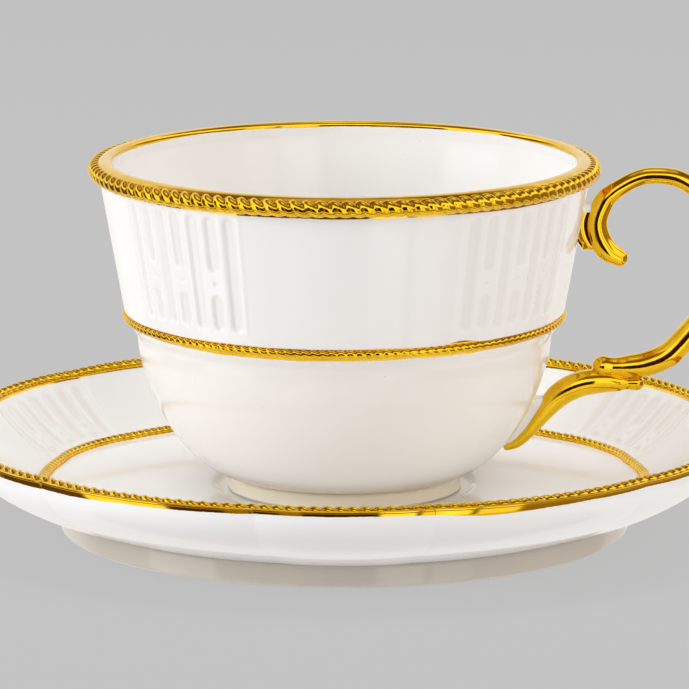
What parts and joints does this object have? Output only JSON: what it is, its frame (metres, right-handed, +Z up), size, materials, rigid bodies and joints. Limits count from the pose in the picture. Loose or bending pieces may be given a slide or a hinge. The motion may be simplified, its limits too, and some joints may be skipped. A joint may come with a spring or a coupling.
{
  "type": "teacup",
  "caption": "Flared porcelain teacup with a gilt scroll handle, rope-beaded gilt rim and waist and fluted panels, standing in its matching fluted saucer.",
  "frame": {"origin": "centre of the saucer's foot ring on the table, straight below the cup's axis", "axes": "+Z up along the axis of the cup and the saucer, +X out through the handle, +Y to the left of the handle"},
  "size_m": [0.1496, 0.1496, 0.0699],
  "materials": {
    "cup_porcelain": "high gloss clear glaze on white porcelain",
    "saucer_porcelain": "high gloss clear glaze on white porcelain",
    "foot_porcelain": "glazed sides with a bare resting edge",
    "gilding": "bright liquid gold fired over the glazed relief"
  },
  "bodies": {
    "saucer": {"saucer_dish": "saucer_porcelain", "saucer_foot_ring": "foot_porcelain", "saucer_rim_rope": "gilding", "saucer_edge_gilding": "gilding", "saucer_well_rope": "gilding"},
    "cup": {"cup_bowl": "cup_porcelain", "cup_foot_ring": "foot_porcelain", "cup_lip_gilding": "gilding", "cup_rim_rope": "gilding", "cup_waist_rope": "gilding", "handle_c_scroll": "gilding", "handle_s_scroll": "gilding", "handle_upper_slip": "cup_porcelain", "handle_lower_slip": "cup_porcelain"}
  },
  "joints": [
    {"name": "cup_lift", "type": "slide", "parent": "saucer", "child": "cup", "axis": [0, 0, 1], "range_m": [0, 0.05]}
  ]
}
